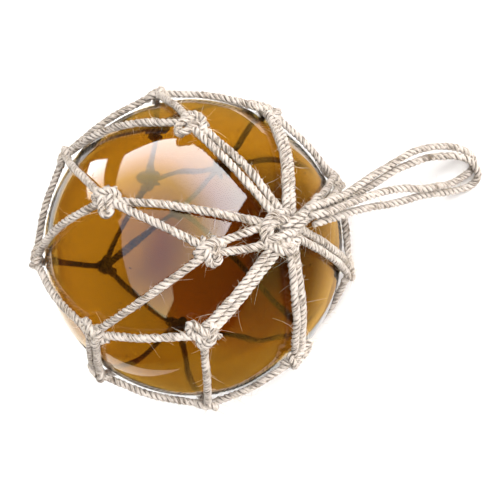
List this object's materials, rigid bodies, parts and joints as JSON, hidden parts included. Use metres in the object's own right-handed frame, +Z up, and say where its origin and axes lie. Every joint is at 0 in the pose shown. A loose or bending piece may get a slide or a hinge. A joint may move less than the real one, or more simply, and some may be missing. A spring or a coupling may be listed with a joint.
{
  "type": "glass float ball",
  "caption": "Sealed amber glass float ball held in a knotted jute rope net, with a doubled rope loop for hanging.",
  "frame": {"origin": "middle of the small flat under the glass ball, on the surface that it rests on", "axes": "+Z up, away from that surface; the hanging loop comes down on the -Y side, towards +X of the middle"},
  "size_m": [0.1614, 0.2046, 0.1532],
  "materials": {
    "amber_glass": "polished, amber, see-through",
    "jute_rope": "natural three-strand rope, dry and hairy"
  },
  "bodies": {
    "root": {"glass_ball": "amber_glass", "rope_net": "jute_rope", "loop_outer_rope": "jute_rope", "loop_inner_rope": "jute_rope"}
  },
  "joints": []
}
